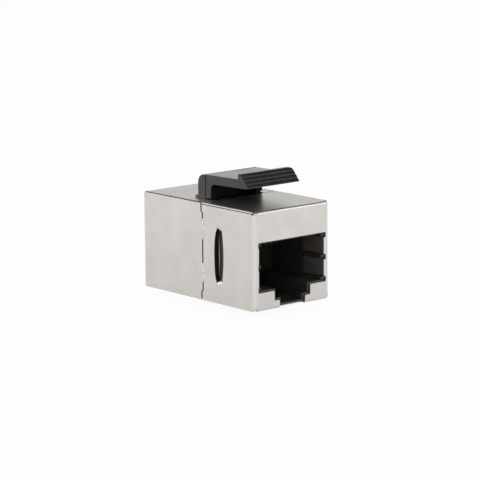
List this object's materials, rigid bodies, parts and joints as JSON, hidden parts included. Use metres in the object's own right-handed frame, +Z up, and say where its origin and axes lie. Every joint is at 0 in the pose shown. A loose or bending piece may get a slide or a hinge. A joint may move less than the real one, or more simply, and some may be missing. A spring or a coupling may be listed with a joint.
{
  "type": "shielded keystone coupler",
  "caption": "Shielded feed-through keystone module: back-to-back modular plug sockets in a folded metal shell, with a sprung snap-in latch on top and a fixed lug below.",
  "frame": {"origin": "middle of the part in plan, at the underside of the fixed lug", "axes": "-Y out of the front socket, +Y out of the rear socket, +X to the right seen from the front, +Z up towards the latch"},
  "size_m": [0.0148, 0.0262, 0.0207],
  "materials": {
    "shield": "satin nickel plate on folded sheet",
    "solder": "solder",
    "housing": "black moulding",
    "latch": "black moulding, fine satin texture",
    "carrier": "black moulding",
    "board": "solder resist on laminate",
    "contact": "gold plate on spring wire"
  },
  "bodies": {
    "body": {"front_shield": "shield", "rear_shield": "shield", "seam_tacks": "solder", "front_housing": "housing", "rear_housing": "housing", "circuit_board": "board", "front_contact_carrier": "carrier", "rear_contact_carrier": "carrier", "front_contact_1": "contact", "front_contact_2": "contact", "front_contact_3": "contact", "front_contact_4": "contact", "front_contact_5": "contact", "front_contact_6": "contact", "front_contact_7": "contact", "front_contact_8": "contact", "rear_contact_1": "contact", "rear_contact_2": "contact", "rear_contact_3": "contact", "rear_contact_4": "contact", "rear_contact_5": "contact", "rear_contact_6": "contact", "rear_contact_7": "contact", "rear_contact_8": "contact"},
    "latch": {"latch_clip": "latch"}
  },
  "joints": [
    {"name": "latch_press", "type": "hinge", "parent": "body", "child": "latch", "pos_m": [0, 0.0001, 0.01555], "axis": [1, 0, 0], "range_deg": [0, 9], "stiffness_Nm_per_rad": 0.3}
  ]
}
